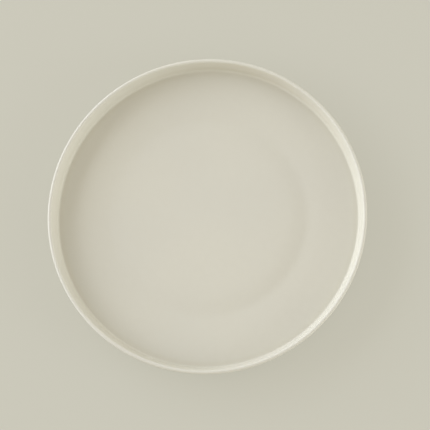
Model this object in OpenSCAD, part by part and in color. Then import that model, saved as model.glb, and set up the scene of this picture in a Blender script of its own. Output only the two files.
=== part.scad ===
// A round porcelain plate with an upright, slightly flared rim.
// It lies on its foot ring: +Z is up, and the origin is on the table under the centre.
// The whole plate is turned from one section, and the glaze follows that section at an even thickness.

/* [Plate] */
// Diameter over the glazed lip
plate_d = 210; // [185:1:260]
// Height from the table to the top of the glazed lip
plate_h = 19.5; // [16:0.5:28]

/* [Rim] */
// Thickness of the clay at the lip, which is a full round
lip_t = 1.9; // [1.5:0.1:3]
// Width of the rim seen from above, from the outside of the lip in to the edge of the floor
rim_w = 6.6; // [6:0.1:12]
// Radius of the clay in the cove, where the floor turns up into the wall
cove_r = 2.6; // [1.4:0.1:5]
// Thickness of the clay round the outside of the cove
heel_t = 3; // [2.4:0.1:3.8]

/* [Floor] */
// Thickness of the clay in the middle of the floor
floor_t = 3.8; // [2.8:0.1:5]
// Height that the floor climbs from its lowest ring to the cove
floor_rise = 2.5; // [0.8:0.1:3.2]
// Depth of the lowest ring under the middle of the floor
dip_depth = 0.55; // [0.1:0.05:0.8]
// Distance from the lowest ring in to the level middle
dip_run = 14; // [10:0.5:20]
// Radius of the floor's bend along its lowest ring
dip_bend = 40; // [20:5:80]

/* [Foot ring] */
// Diameter along the middle of the standing face, which lies under the lowest ring of the floor
foot_d = 131; // [100:1:145]
// Width of the ring at the table, before its edges are rounded
foot_w = 4.2; // [3.2:0.1:6]
// Height of the base above the table, inside the ring
foot_h = 2.4; // [1.8:0.1:3.2]
// Height of the underside above the table, just outside the ring
shoulder_h = 2; // [1.6:0.1:2.8]
// Lean of the ring's two sides, in degrees
foot_lean = 14; // [5:1:25]
// Rounding of the ring's two standing edges, which are wiped free of glaze with the face between them
foot_edge = 0.6; // [0.4:0.1:0.9]
// Rounding where the ring's sides meet the underside
foot_fillet = 1.2; // [0.8:0.1:1.6]

/* [Glaze] */
// Thickness of the glaze
glaze_t = 0.3; // [0.2:0.05:0.5]

/* [Hidden] */

clay_colour = [0.88, 0.86, 0.81];
face_colour = [0.83, 0.81, 0.74];
base_colour = [0.8, 0.78, 0.71];

// Steps in one turn about the axis
$fn = 180;
// Largest turn between two neighbouring points of a round stretch, in degrees
arc_step = 5;
// Fewest steps along a round stretch, which the wide bends of the floor take
least_steps = 3;
// How much of the widest bend that fits may be used, so that a straight run is left beside it
bend_share = 0.9;

// Heights of the clay
floor_z = foot_h + floor_t;
dip_z = floor_z - dip_depth;
cove_z = dip_z + floor_rise + cove_r;
lip_z = plate_h - glaze_t - lip_t / 2;

// Radii from the axis
lip_at = plate_d / 2 - glaze_t - lip_t / 2;
cove_at = plate_d / 2 - rim_w;
foot_at = foot_d / 2;

// Room for bends between the lowest ring and the level middle, and between the lowest ring and the cove
inner_room = (dip_run ^ 2 + dip_depth ^ 2) / (2 * dip_depth);
outer_room = ((cove_at - foot_at) ^ 2 + floor_rise ^ 2) / (2 * floor_rise);
// Bend of the floor along its lowest ring, no wider than there is room for
valley_bend = min(dip_bend, bend_share * inner_room / 2, bend_share * outer_room);
// Bend of the floor from the level middle down towards its lowest ring
crown_bend = bend_share * (inner_room - valley_bend);

// The two fillets of the foot ring, no larger than its height leaves room for
inner_fillet = min(foot_fillet, foot_h - foot_edge);
outer_fillet = min(foot_fillet, shoulder_h - foot_edge);

// How far a rounding's centre lies from the sharp corner between level ground and a side of the ring
function inset(radius) = radius * cos(foot_lean) / (1 + sin(foot_lean));

// Distance that a side of the ring leans out over a height
function leaned(height) = height * tan(foot_lean);

// The section of the clay as a band laid tightly round these rounds, from the middle of the base, round
// the outside and back over the floor to the middle: [distance from the axis, height, radius].
// An outside corner has a radius above zero, an inside corner one below zero.
rounds = [
    [0, foot_h, 0],
    [foot_at - foot_w / 2 - leaned(foot_h) - inset(inner_fillet), foot_h - inner_fillet, -inner_fillet],
    [foot_at - foot_w / 2 + inset(foot_edge), foot_edge, foot_edge],
    [foot_at + foot_w / 2 - inset(foot_edge), foot_edge, foot_edge],
    [foot_at + foot_w / 2 + leaned(shoulder_h) + inset(outer_fillet), shoulder_h - outer_fillet, -outer_fillet],
    [cove_at, cove_z, cove_r + heel_t],
    [lip_at, lip_z, lip_t / 2],
    [cove_at, cove_z, -cove_r],
    [foot_at, dip_z + valley_bend, -valley_bend],
    [foot_at - dip_run, floor_z - crown_bend, crown_bend],
    [0, floor_z, 0],
];

// Places in that list where a stretch of glaze begins or ends
base_middle = 0;
inner_edge = 2;
outer_edge = 3;
floor_middle = len(rounds) - 1;

function centre(i) = [rounds[i][0], rounds[i][1]];
function radius(i) = rounds[i][2];

// Direction in which the surface faces along the straight run from one round to the next, in degrees
function facing(i) =
    let (run = centre(i + 1) - centre(i))
    atan2(run[1], run[0]) - acos((radius(i) - radius(i + 1)) / norm(run));

// Angle through which the surface turns along a round, anticlockwise on an outside corner
function turn(i) =
    let (change = facing(i) - facing(i - 1))
    radius(i) > 0 ? (change + 720) % 360 : -((720 - change) % 360);

// Point of a round where the surface faces a direction, raised above the clay by a skin
function raised(i, direction, skin) = centre(i) + (radius(i) + skin) * [cos(direction), sin(direction)];

// Points along one round, from the straight run before it to the straight run after it
function along(i, skin) =
    let (steps = max(least_steps, ceil(abs(turn(i)) / arc_step)))
    [for (k = [0:steps]) raised(i, facing(i - 1) + turn(i) * k / steps, skin)];

// Points of the surface from the end of one round to the start of another
function stretch(first, last, skin) = concat(
    [raised(first, facing(first), skin)],
    [for (i = [first + 1:last - 1]) each along(i, skin)],
    [raised(last, facing(last - 1), skin)]
);

function backwards(points) = [for (i = [len(points) - 1:-1:0]) points[i]];

// A coat of glaze on the clay between two rounds of the section
module coat(first, last) {
    rotate_extrude()
        polygon(concat(stretch(first, last, glaze_t), backwards(stretch(first, last, 0))));
}

// The fired clay: floor, cove, wall, lip and foot ring
module clay_body() {
    color(clay_colour)
        rotate_extrude()
            polygon(stretch(base_middle, floor_middle, 0));
}

// Glaze from the outer side of the foot ring up over the lip and across the whole floor
module face_glaze() {
    color(face_colour)
        coat(outer_edge, floor_middle);
}

// Glaze on the base inside the foot ring, parted from the rest by the dry standing face
module base_glaze() {
    color(base_colour)
        coat(base_middle, inner_edge);
}

clay_body();
face_glaze();
base_glaze();
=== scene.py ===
import math

import bpy
from mathutils import Euler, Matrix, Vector


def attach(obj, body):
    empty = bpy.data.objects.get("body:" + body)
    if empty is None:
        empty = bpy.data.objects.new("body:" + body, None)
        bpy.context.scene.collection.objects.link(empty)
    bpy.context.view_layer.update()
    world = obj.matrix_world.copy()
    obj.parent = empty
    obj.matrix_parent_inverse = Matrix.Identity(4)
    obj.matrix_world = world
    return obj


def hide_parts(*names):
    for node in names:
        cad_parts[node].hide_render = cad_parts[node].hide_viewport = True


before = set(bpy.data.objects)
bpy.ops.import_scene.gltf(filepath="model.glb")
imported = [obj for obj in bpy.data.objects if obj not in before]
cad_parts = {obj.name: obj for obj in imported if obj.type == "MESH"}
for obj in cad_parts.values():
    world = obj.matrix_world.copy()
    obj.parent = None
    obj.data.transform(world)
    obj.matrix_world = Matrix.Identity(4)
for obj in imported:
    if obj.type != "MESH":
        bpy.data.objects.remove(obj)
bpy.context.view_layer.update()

MM = 0.001

# Sizes of the plate
PLATE_D = 210 * MM
PLATE_H = 19.5 * MM
LIP_T = 1.9 * MM
RIM_W = 6.6 * MM
COVE_R = 2.6 * MM
HEEL_T = 3 * MM
FLOOR_T = 3.8 * MM
FLOOR_RISE = 2.5 * MM
DIP_DEPTH = 0.55 * MM
DIP_RUN = 14 * MM
DIP_BEND = 40 * MM
FOOT_D = 131 * MM
FOOT_W = 4.2 * MM
FOOT_H = 2.4 * MM
SHOULDER_H = 2 * MM
FOOT_LEAN = math.radians(14)
FOOT_EDGE = 0.6 * MM
FOOT_FILLET = 1.2 * MM
GLAZE_T = 0.3 * MM

# How finely the section is drawn and spun
ARC_STEP = math.radians(5)
LEAST_STEPS = 4
RUN_STEP = 6 * MM
SIDES = 256
WELD = 0.002 * MM
SMOOTH_BELOW = math.radians(35)

# Rounding of the free edge where a glaze coat ends above the foot
END_ROUND = 0.2 * MM
END_STEPS = 3

# How much of the widest bend that fits is used from the level middle down to the lowest ring
BEND_SHARE = 0.9

# Heights of the clay and distances from the axis
FLOOR_Z = FOOT_H + FLOOR_T
DIP_Z = FLOOR_Z - DIP_DEPTH
COVE_Z = DIP_Z + FLOOR_RISE + COVE_R
LIP_Z = PLATE_H - GLAZE_T - LIP_T / 2
LIP_AT = PLATE_D / 2 - GLAZE_T - LIP_T / 2
COVE_AT = PLATE_D / 2 - RIM_W
FOOT_AT = FOOT_D / 2
CROWN_BEND = BEND_SHARE * ((DIP_RUN ** 2 + DIP_DEPTH ** 2) / (2 * DIP_DEPTH) - DIP_BEND)


def inset(radius):
    """How far a rounding's centre lies from the sharp corner between level ground and a foot side."""
    return radius * math.cos(FOOT_LEAN) / (1 + math.sin(FOOT_LEAN))


def leaned(height):
    """Distance that a side of the foot leans out over a height."""
    return height * math.tan(FOOT_LEAN)


# The clay's section as a band round these rounds: distance from the axis, height, radius.
# It runs from the middle of the base round the outside and back over the floor to the middle.
ROUNDS = [
    (0, FOOT_H, 0),
    (FOOT_AT - FOOT_W / 2 - leaned(FOOT_H) - inset(FOOT_FILLET), FOOT_H - FOOT_FILLET, -FOOT_FILLET),
    (FOOT_AT - FOOT_W / 2 + inset(FOOT_EDGE), FOOT_EDGE, FOOT_EDGE),
    (FOOT_AT + FOOT_W / 2 - inset(FOOT_EDGE), FOOT_EDGE, FOOT_EDGE),
    (FOOT_AT + FOOT_W / 2 + leaned(SHOULDER_H) + inset(FOOT_FILLET), SHOULDER_H - FOOT_FILLET, -FOOT_FILLET),
    (COVE_AT, COVE_Z, COVE_R + HEEL_T),
    (LIP_AT, LIP_Z, LIP_T / 2),
    (COVE_AT, COVE_Z, -COVE_R),
    (FOOT_AT, DIP_Z + DIP_BEND, -DIP_BEND),
    (FOOT_AT - DIP_RUN, FLOOR_Z - CROWN_BEND, CROWN_BEND),
    (0, FLOOR_Z, 0),
]
BASE_MIDDLE = 0
INNER_EDGE = 2
OUTER_EDGE = 3
FLOOR_MIDDLE = len(ROUNDS) - 1


def centre(i):
    return Vector(ROUNDS[i][:2])


def radius(i):
    return ROUNDS[i][2]


def facing(i):
    """Direction in which the surface faces along the straight run from one round to the next."""
    run = centre(i + 1) - centre(i)
    return math.atan2(run.y, run.x) - math.acos((radius(i) - radius(i + 1)) / run.length)


def turn(i):
    """Angle through which the surface turns along a round, anticlockwise on an outside corner."""
    change = facing(i) - facing(i - 1)
    return change % math.tau if radius(i) > 0 else -((-change) % math.tau)


def raised(i, direction, skin):
    """Point of a round where the surface faces a direction, raised above the clay by a skin."""
    return centre(i) + (radius(i) + skin) * Vector((math.cos(direction), math.sin(direction)))


def along(i, skin):
    """Points along one round, from the straight run before it to the straight run after it."""
    steps = max(LEAST_STEPS, math.ceil(abs(turn(i)) / ARC_STEP))
    return [raised(i, facing(i - 1) + turn(i) * k / steps, skin) for k in range(steps + 1)]


def paced(points):
    """The same line with more points on its long straight runs."""
    line = [points[0]]
    for start, end in zip(points, points[1:]):
        steps = math.ceil((end - start).length / RUN_STEP)
        line += [start.lerp(end, k / steps) for k in range(1, steps + 1)]
    return line


def stretch(first, last, skin):
    """Points of the surface from the end of one round to the start of another."""
    points = [raised(first, facing(first), skin)]
    for i in range(first + 1, last):
        points += along(i, skin)
    return paced(points + [raised(last, facing(last - 1), skin)])


def spun(name, section):
    """Draws a section as a chain of edges from the axis back to the axis and spins it into a solid."""
    bpy.ops.object.select_all(action="DESELECT")
    bpy.ops.mesh.primitive_plane_add(size=PLATE_D)
    piece = bpy.context.active_object
    piece.name = name
    piece.data.name = name
    bpy.ops.object.mode_set(mode="EDIT")
    bpy.ops.mesh.select_mode(type="VERT")
    bpy.ops.mesh.select_all(action="SELECT")
    bpy.ops.mesh.merge(type="CENTER")
    at = section[0]
    bpy.ops.transform.translate(value=(at.x, 0, at.y))
    for point in section[1:]:
        step = point - at
        bpy.ops.mesh.extrude_vertices_move(TRANSFORM_OT_translate={"value": (step.x, 0, step.y)})
        at = point
    bpy.ops.mesh.select_all(action="SELECT")
    bpy.ops.mesh.spin(steps=SIDES, angle=math.tau, center=(0, 0, 0), axis=(0, 0, 1))
    bpy.ops.mesh.select_all(action="SELECT")
    bpy.ops.mesh.remove_doubles(threshold=WELD)
    bpy.ops.mesh.normals_make_consistent(inside=False)
    bpy.ops.object.mode_set(mode="OBJECT")
    bpy.ops.object.shade_smooth_by_angle(angle=SMOOTH_BELOW)
    return piece


def soften_end(coat, corner):
    """Rounds the free edge of a glaze coat, which melts to a soft end above the wiped foot."""
    bpy.ops.object.mode_set(mode="EDIT")
    bpy.ops.mesh.select_all(action="DESELECT")
    bpy.ops.object.mode_set(mode="OBJECT")
    for vertex in coat.data.vertices:
        at = Vector((math.hypot(vertex.co.x, vertex.co.y), vertex.co.z))
        vertex.select = (at - corner).length < WELD
    bpy.ops.object.mode_set(mode="EDIT")
    bpy.ops.mesh.select_mode(type="VERT")
    bpy.ops.mesh.select_mode(type="EDGE")
    bpy.ops.mesh.bevel(offset=END_ROUND, segments=END_STEPS, affect="EDGES")
    bpy.ops.object.mode_set(mode="OBJECT")
    bpy.ops.object.shade_smooth_by_angle(angle=SMOOTH_BELOW)


def add_node(tree, kind, inputs, **settings):
    """Adds a node whose inputs are either set to a value or linked from another node's output."""
    node = tree.nodes.new(kind)
    for name, value in settings.items():
        setattr(node, name, value)
    for name, value in inputs.items():
        if isinstance(value, bpy.types.NodeSocket):
            tree.links.new(value, node.inputs[name])
        else:
            node.inputs[name].default_value = value
    return node


def place(tree):
    return add_node(tree, "ShaderNodeTexCoord", {}).outputs["Object"]


def noise(tree, scale, detail):
    """A noise pattern with so many features to the metre, each broken into finer ones so many times."""
    inputs = {"Vector": place(tree), "Scale": scale, "Detail": detail}
    return add_node(tree, "ShaderNodeTexNoise", inputs).outputs["Fac"]


def carried(tree, value, low, high, start, end):
    """A value carried from one range over to another, with a soft start and a soft end."""
    inputs = {"Value": value, "From Min": low, "From Max": high, "To Min": start, "To Max": end}
    return add_node(tree, "ShaderNodeMapRange", inputs, interpolation_type="SMOOTHSTEP").outputs["Result"]


# Nearly all of a noise pattern lies between these two values
NOISE_LOW = 0.3
NOISE_HIGH = 0.7


def spread(tree, pattern, start, end):
    """A noise pattern spread over a range, with its rare highs and lows cut off."""
    return carried(tree, pattern, NOISE_LOW, NOISE_HIGH, start, end)


def sum_of(tree, first, second):
    return add_node(tree, "ShaderNodeMath", {0: first, 1: second}, operation="ADD").outputs["Value"]


def product(tree, first, second):
    return add_node(tree, "ShaderNodeMath", {0: first, 1: second}, operation="MULTIPLY").outputs["Value"]


def blend(tree, share, first, second):
    inputs = {"Fac": share, "Color1": first, "Color2": second}
    return add_node(tree, "ShaderNodeMixRGB", inputs).outputs["Color"]


def bumped(tree, height, depth):
    return add_node(tree, "ShaderNodeBump", {"Height": height, "Distance": depth}).outputs["Normal"]


def height_of(tree):
    return add_node(tree, "ShaderNodeSeparateXYZ", {"Vector": place(tree)}).outputs["Z"]


def section_place(tree):
    """Each point's place on the plate's section: distance from the axis, height, nothing."""
    across = add_node(tree, "ShaderNodeVectorMath", {0: place(tree), 1: (1, 1, 0)}, operation="MULTIPLY")
    distance = add_node(tree, "ShaderNodeVectorMath", {0: across.outputs["Vector"]}, operation="LENGTH")
    inputs = {"X": distance.outputs["Value"], "Y": height_of(tree)}
    return add_node(tree, "ShaderNodeCombineXYZ", inputs).outputs["Vector"]


def new_material(name):
    material = bpy.data.materials.new(name)
    material.use_nodes = True
    return material, material.node_tree


# Colours of the glaze: where it lies thicker and thinner, in flecks, gathered in the cove, thin on the lip
GLAZE_THICKER = (0.638, 0.618, 0.524, 1)
GLAZE_THINNER = (0.652, 0.63, 0.53, 1)
GLAZE_FLECK = (0.62, 0.594, 0.495, 1)
GLAZE_GATHERED = (0.615, 0.588, 0.477, 1)
GLAZE_LIP = (0.71, 0.695, 0.61, 1)

# Most that the flecks, the gathered glaze and the thin glaze on the lip cover the clouds
FLECK_SHARE = 0.15
GATHERED_SHARE = 0.35
LIP_SHARE = 0.4
# Distance from the surface of the cove over which the gathered glaze fades away
GATHERED_REACH = HEEL_T / 2

# Patterns of the glaze, in features to the metre
GLAZE_CLOUDS = 14
GLAZE_FLECKS = 240
GLAZE_SHEEN = 45
GLAZE_HANDLING = 60
GLAZE_WAVES = 30
GLAZE_PEEL = 420

GLAZE_IOR = 1.5
# Roughness where the sheen is clearest and dullest, and what handling adds on the lip
CLEAREST = 0.28
DULLEST = 0.36
HANDLED = 0.08

# Depth of the peel, and how many times deeper the long waves are
PEEL_DEPTH = 0.005 * MM
WAVES_TO_PEEL = 6


def ivory_glaze():
    """Glossy ivory glaze: faintly clouded, thin and pale on the lip, gathered and deeper in the cove."""
    material, tree = new_material("ivory_glaze")
    shader = tree.nodes["Principled BSDF"]
    shader.inputs["IOR"].default_value = GLAZE_IOR
    lip = carried(tree, height_of(tree), LIP_Z, PLATE_H, 0, 1)
    inputs = {0: section_place(tree), 1: (COVE_AT, COVE_Z, 0)}
    from_cove = add_node(tree, "ShaderNodeVectorMath", inputs, operation="DISTANCE").outputs["Value"]
    gathered = carried(tree, from_cove, COVE_R, COVE_R + GATHERED_REACH, 1, 0)

    clouds = spread(tree, noise(tree, GLAZE_CLOUDS, detail=1), 0, 1)
    flecks = spread(tree, noise(tree, GLAZE_FLECKS, detail=2), 0, FLECK_SHARE)
    colour = blend(tree, clouds, GLAZE_THICKER, GLAZE_THINNER)
    colour = blend(tree, flecks, colour, GLAZE_FLECK)
    colour = blend(tree, product(tree, gathered, GATHERED_SHARE), colour, GLAZE_GATHERED)
    colour = blend(tree, product(tree, lip, LIP_SHARE), colour, GLAZE_LIP)
    tree.links.new(colour, shader.inputs["Base Color"])

    sheen = spread(tree, noise(tree, GLAZE_SHEEN, detail=2), CLEAREST, DULLEST)
    handling = product(tree, lip, spread(tree, noise(tree, GLAZE_HANDLING, detail=3), 0, HANDLED))
    tree.links.new(sum_of(tree, sheen, handling), shader.inputs["Roughness"])

    waves = product(tree, noise(tree, GLAZE_WAVES, detail=1), WAVES_TO_PEEL)
    peel = noise(tree, GLAZE_PEEL, detail=2)
    tree.links.new(bumped(tree, sum_of(tree, waves, peel), PEEL_DEPTH), shader.inputs["Normal"])
    return material


# Colours of the bare porcelain: between its grains and on them, in faint stains and where it is scuffed
CLAY_BETWEEN = (0.66, 0.62, 0.53, 1)
CLAY_GRAIN = (0.75, 0.71, 0.62, 1)
CLAY_STAIN = (0.64, 0.58, 0.47, 1)
CLAY_SCUFF = (0.43, 0.41, 0.37, 1)

# Patterns of the bare porcelain, in features to the metre
CLAY_GRAINS = 2600
CLAY_STAINS = 60
CLAY_SCUFFS = 480

GRAIN_DEPTH = 0.03 * MM
# Most that the stains and the scuffs cover the grain
STAIN_SHARE = 0.3
SCUFF_SHARE = 0.5
# Part of the scuffs' pattern over which they deepen, and the height up to which the foot is scuffed
SCUFFS_FROM = 0.45
SCUFFS_TO = 0.75
SCUFF_H = FOOT_EDGE / 3
# Roughness of the clean clay and of its deepest scuffs
CLAY_ROUGHNESS = 0.78
SCUFF_ROUGHNESS = 0.55


def bare_porcelain():
    """Unglazed porcelain on the wiped foot: matt, finely grained, with grey scuffs where it stands."""
    material, tree = new_material("bare_porcelain")
    shader = tree.nodes["Principled BSDF"]
    grain = noise(tree, CLAY_GRAINS, detail=2)
    stains = spread(tree, noise(tree, CLAY_STAINS, detail=3), 0, STAIN_SHARE)
    standing = carried(tree, height_of(tree), 0, SCUFF_H, 1, 0)
    rubbed = noise(tree, CLAY_SCUFFS, detail=5)
    rubbed = carried(tree, rubbed, SCUFFS_FROM, SCUFFS_TO, 0, SCUFF_SHARE)
    scuffs = product(tree, standing, rubbed)
    colour = blend(tree, grain, CLAY_BETWEEN, CLAY_GRAIN)
    colour = blend(tree, stains, colour, CLAY_STAIN)
    colour = blend(tree, scuffs, colour, CLAY_SCUFF)
    tree.links.new(colour, shader.inputs["Base Color"])
    roughness = carried(tree, scuffs, 0, SCUFF_SHARE, CLAY_ROUGHNESS, SCUFF_ROUGHNESS)
    tree.links.new(roughness, shader.inputs["Roughness"])
    tree.links.new(bumped(tree, grain, GRAIN_DEPTH), shader.inputs["Normal"])
    return material


def finished(piece, material, node):
    """Gives a piece its material and its place in the frame, where it stands for a node."""
    piece.data.materials.append(material)
    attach(piece, "root")
    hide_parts(node)


glaze = ivory_glaze()
clay = bare_porcelain()

body = spun("porcelain_body", stretch(BASE_MIDDLE, FLOOR_MIDDLE, 0))
finished(body, clay, "clay_body")

face_under = stretch(OUTER_EDGE, FLOOR_MIDDLE, 0)
face_over = stretch(OUTER_EDGE, FLOOR_MIDDLE, GLAZE_T)
face = spun("face_coat", face_under[::-1] + face_over)
soften_end(face, face_over[0])
finished(face, glaze, "face_glaze")

base_under = stretch(BASE_MIDDLE, INNER_EDGE, 0)
base_over = stretch(BASE_MIDDLE, INNER_EDGE, GLAZE_T)
base = spun("base_coat", base_under + base_over[::-1])
soften_end(base, base_over[-1])
finished(base, glaze, "base_glaze")


# The floor lies a hair under the standing face, so that the two never share a plane
FLOOR_SIDE = 20
FLOOR_GAP = 0.02 * MM
FLOOR_ROUGHNESS = 0.9
BACKDROP = (0.59, 0.575, 0.485, 1)
# How strongly the camera sees the floor's own light and shadow, the rest being an even backdrop
SHADOW_SHARE = 0.26


def pale_floor():
    """A pale floor that the camera sees partly as an even backdrop and partly with the plate's shadow."""
    material, tree = new_material("studio_floor")
    shader = tree.nodes["Principled BSDF"]
    shader.inputs["Base Color"].default_value = BACKDROP
    shader.inputs["Roughness"].default_value = FLOOR_ROUGHNESS
    even = add_node(tree, "ShaderNodeEmission", {"Color": BACKDROP})
    path = add_node(tree, "ShaderNodeLightPath", {})
    inputs = {0: path.outputs["Is Glossy Ray"], 1: path.outputs["Is Transmission Ray"]}
    mirrored = add_node(tree, "ShaderNodeMath", inputs, operation="MAXIMUM")
    inputs = {0: path.outputs["Is Camera Ray"], 1: mirrored.outputs["Value"]}
    seen = add_node(tree, "ShaderNodeMath", inputs, operation="MAXIMUM")
    share = product(tree, seen.outputs["Value"], 1 - SHADOW_SHARE)
    inputs = {0: share, 1: shader.outputs["BSDF"], 2: even.outputs["Emission"]}
    mixed = add_node(tree, "ShaderNodeMixShader", inputs).outputs["Shader"]
    tree.links.new(mixed, tree.nodes["Material Output"].inputs["Surface"])
    return material


bpy.ops.object.select_all(action="DESELECT")
bpy.ops.mesh.primitive_plane_add(size=FLOOR_SIDE, location=(0, 0, -FLOOR_GAP))
floor = bpy.context.active_object
floor.name = "studio_floor"
floor.data.materials.append(pale_floor())

# The camera looks almost straight down on the plate, turned a little to the front and to the right
CAMERA_AIM = Vector((5.87 * MM, -1.01 * MM, 18.2 * MM))
CAMERA_TILT = Euler((math.radians(10.9), math.radians(4.8), 0))
CAMERA_DISTANCE = 1
CAMERA_LENS = 127.9
towards = CAMERA_TILT.to_matrix() @ Vector((0, 0, 1))
bpy.ops.object.camera_add(location=CAMERA_AIM + CAMERA_DISTANCE * towards, rotation=CAMERA_TILT)
camera = bpy.context.active_object
camera.data.lens = CAMERA_LENS
bpy.context.scene.camera = camera


# Lights: a wide and a small soft box in a soft room
SOFTBOX_DISTANCE = 3


def softbox(name, azimuth, elevation, width, height, power, colour):
    """A soft box that faces the plate from an azimuth and an elevation in degrees.

    The glaze doesn't mirror it, so that no side of the plate glares: its gloss shows the soft room.
    """
    around, up = math.radians(azimuth), math.radians(elevation)
    away = Vector((math.sin(around) * math.cos(up), -math.cos(around) * math.cos(up), math.sin(up)))
    bpy.ops.object.light_add(type="AREA", location=SOFTBOX_DISTANCE * away)
    lamp = bpy.context.active_object
    lamp.name = name
    lamp.rotation_mode = "QUATERNION"
    lamp.rotation_quaternion = away.to_track_quat("Z", "Y")
    lamp.data.shape = "RECTANGLE"
    lamp.data.size = width
    lamp.data.size_y = height
    lamp.data.energy = power
    lamp.data.color = colour
    lamp.visible_glossy = False


KEY_COLOUR = (0.74, 0.82, 1)
FILL_COLOUR = (0.74, 0.84, 1)
softbox("key_softbox", azimuth=-115, elevation=22, width=4.5, height=1.8, power=114, colour=KEY_COLOUR)
softbox("fill_softbox", azimuth=75, elevation=14, width=1.25, height=1.25, power=33, colour=FILL_COLOUR)


# Light of the room: on its walls ahead of and behind the plate, what its two sides add, and overhead
ROOM_COLOUR = (1, 0.94, 0.842, 1)
ROOM_WALLS = 0.52
ROOM_SIDES = 0.95
ROOM_OVERHEAD = 0.43
# Upward part of the direction at which the walls begin to fade, and at which the overhead light is reached
WALLS_UP_TO = 0.55
OVERHEAD_FROM = 0.85


def soft_room():
    """A room that is bright along its walls, most of all to the left and right, and dim overhead."""
    room = bpy.data.worlds.new("soft_room")
    room.use_nodes = True
    tree = room.node_tree
    direction = add_node(tree, "ShaderNodeTexCoord", {}).outputs["Generated"]
    parts = add_node(tree, "ShaderNodeSeparateXYZ", {"Vector": direction}).outputs
    sideways = add_node(tree, "ShaderNodeMath", {0: parts["X"]}, operation="ABSOLUTE").outputs["Value"]
    walls = sum_of(tree, product(tree, sideways, ROOM_SIDES), ROOM_WALLS)
    background = tree.nodes["Background"]
    background.inputs["Color"].default_value = ROOM_COLOUR
    strength = carried(tree, parts["Z"], WALLS_UP_TO, OVERHEAD_FROM, walls, ROOM_OVERHEAD)
    tree.links.new(strength, background.inputs["Strength"])
    return room


scene = bpy.context.scene
scene.world = soft_room()
scene.view_settings.view_transform = "Standard"
